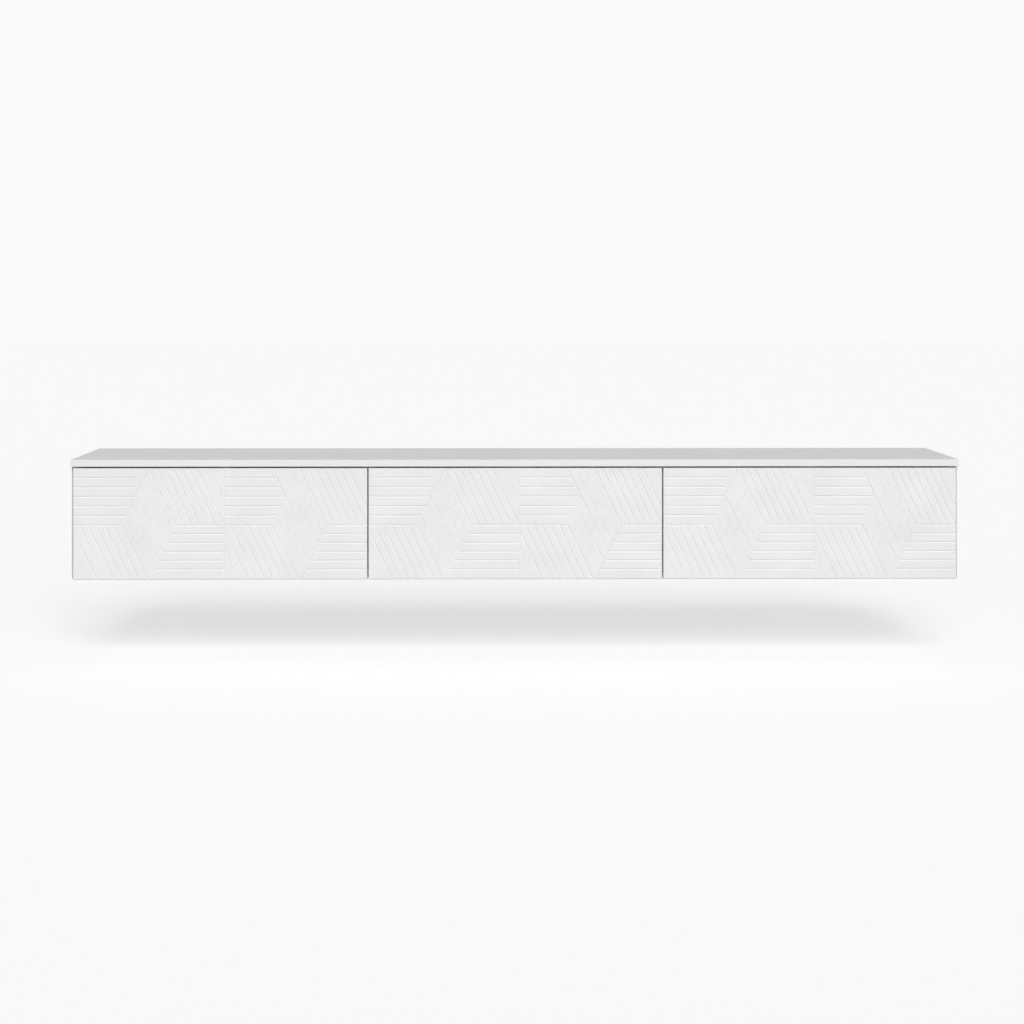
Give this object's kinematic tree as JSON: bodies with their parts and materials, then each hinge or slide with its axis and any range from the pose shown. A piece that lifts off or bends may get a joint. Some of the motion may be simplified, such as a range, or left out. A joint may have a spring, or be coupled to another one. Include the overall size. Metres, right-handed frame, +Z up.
{
  "type": "floating media console",
  "caption": "Long wall-hung media console with drop-down fronts carved in a slatted lozenge relief, push latches, flap stays and a hanging rail.",
  "frame": {"origin": "middle of the wall rail's back face, where the console meets the wall", "axes": "+X along the console to the right as seen from the room, +Y into the wall, +Z up"},
  "size_m": [2.4, 0.42, 0.323],
  "materials": {
    "lacquer": "matt white lacquer on medium-density fibreboard",
    "carved_lacquer": "matt white lacquer on carved medium-density fibreboard",
    "plated_steel": "nickel-plated pressed steel",
    "galvanised_steel": "galvanised roll-formed steel",
    "zinc": "nickel-plated die-cast zinc",
    "grey_plastic": "moulded light grey plastic",
    "dark_plastic": "moulded dark plastic with a soft tip"
  },
  "bodies": {
    "carcass": {"top_panel": "lacquer", "bottom_panel": "lacquer", "side_panel_left": "lacquer", "side_panel_right": "lacquer", "partition_left": "lacquer", "partition_right": "lacquer", "back_panel_left": "lacquer", "back_panel_middle": "lacquer", "back_panel_right": "lacquer", "wall_rail": "galvanised_steel", "hanger_left_end": "zinc", "hanger_left_partition": "zinc", "hanger_right_partition": "zinc", "hanger_right_end": "zinc", "grommet_left": "grey_plastic", "latch_body_left": "grey_plastic", "hinge_arm_left_a": "plated_steel", "stay_stud_left_a": "plated_steel", "hinge_arm_left_b": "plated_steel", "stay_stud_left_b": "plated_steel", "grommet_middle": "grey_plastic", "latch_body_middle": "grey_plastic", "hinge_arm_middle_a": "plated_steel", "stay_stud_middle_a": "plated_steel", "hinge_arm_middle_b": "plated_steel", "stay_stud_middle_b": "plated_steel", "grommet_right": "grey_plastic", "latch_body_right": "grey_plastic", "hinge_arm_right_a": "plated_steel", "stay_stud_right_a": "plated_steel", "hinge_arm_right_b": "plated_steel", "stay_stud_right_b": "plated_steel"},
    "flap_left": {"flap_left": "carved_lacquer", "latch_strike_left": "plated_steel", "hinge_cup_left_a": "zinc", "stay_bracket_left_a": "plated_steel", "hinge_cup_left_b": "zinc", "stay_bracket_left_b": "plated_steel"},
    "stay_left": {"stay_arm_left_a": "plated_steel", "stay_arm_left_b": "plated_steel"},
    "latch_left": {"latch_plunger_left": "dark_plastic"},
    "flap_middle": {"flap_middle": "carved_lacquer", "latch_strike_middle": "plated_steel", "hinge_cup_middle_a": "zinc", "stay_bracket_middle_a": "plated_steel", "hinge_cup_middle_b": "zinc", "stay_bracket_middle_b": "plated_steel"},
    "stay_middle": {"stay_arm_middle_a": "plated_steel", "stay_arm_middle_b": "plated_steel"},
    "latch_middle": {"latch_plunger_middle": "dark_plastic"},
    "flap_right": {"flap_right": "carved_lacquer", "latch_strike_right": "plated_steel", "hinge_cup_right_a": "zinc", "stay_bracket_right_a": "plated_steel", "hinge_cup_right_b": "zinc", "stay_bracket_right_b": "plated_steel"},
    "stay_right": {"stay_arm_right_a": "plated_steel", "stay_arm_right_b": "plated_steel"},
    "latch_right": {"latch_plunger_right": "dark_plastic"}
  },
  "joints": [
    {"name": "flap_left_swing", "type": "hinge", "parent": "carcass", "child": "flap_left", "pos_m": [-0.796, -0.4105, -0.2395], "axis": [1, 0, 0], "range_deg": [0, 90]},
    {"name": "stay_left_turn", "type": "hinge", "parent": "flap_left", "child": "stay_left", "pos_m": [-0.796, -0.388, -0.12163], "axis": [1, 0, 0], "range_deg": [-46, 1]},
    {"name": "latch_left_push", "type": "slide", "parent": "carcass", "child": "latch_left", "axis": [0, -1, 0], "range_m": [0, 0.014]},
    {"name": "flap_middle_swing", "type": "hinge", "parent": "carcass", "child": "flap_middle", "pos_m": [0, -0.4105, -0.2395], "axis": [1, 0, 0], "range_deg": [0, 90]},
    {"name": "stay_middle_turn", "type": "hinge", "parent": "flap_middle", "child": "stay_middle", "pos_m": [0, -0.388, -0.12163], "axis": [1, 0, 0], "range_deg": [-46, 1]},
    {"name": "latch_middle_push", "type": "slide", "parent": "carcass", "child": "latch_middle", "axis": [0, -1, 0], "range_m": [0, 0.014]},
    {"name": "flap_right_swing", "type": "hinge", "parent": "carcass", "child": "flap_right", "pos_m": [0.796, -0.4105, -0.2395], "axis": [1, 0, 0], "range_deg": [0, 90]},
    {"name": "stay_right_turn", "type": "hinge", "parent": "flap_right", "child": "stay_right", "pos_m": [0.796, -0.388, -0.12163], "axis": [1, 0, 0], "range_deg": [-46, 1]},
    {"name": "latch_right_push", "type": "slide", "parent": "carcass", "child": "latch_right", "axis": [0, -1, 0], "range_m": [0, 0.014]}
  ],
  "couplings": [
    {"joint": "stay_left_turn", "follows": "flap_left_swing", "ratio": -0.5},
    {"joint": "latch_left_push", "follows": "flap_left_swing", "m_per_rad": 0.0089},
    {"joint": "stay_middle_turn", "follows": "flap_middle_swing", "ratio": -0.5},
    {"joint": "latch_middle_push", "follows": "flap_middle_swing", "m_per_rad": 0.0089},
    {"joint": "stay_right_turn", "follows": "flap_right_swing", "ratio": -0.5},
    {"joint": "latch_right_push", "follows": "flap_right_swing", "m_per_rad": 0.0089}
  ]
}
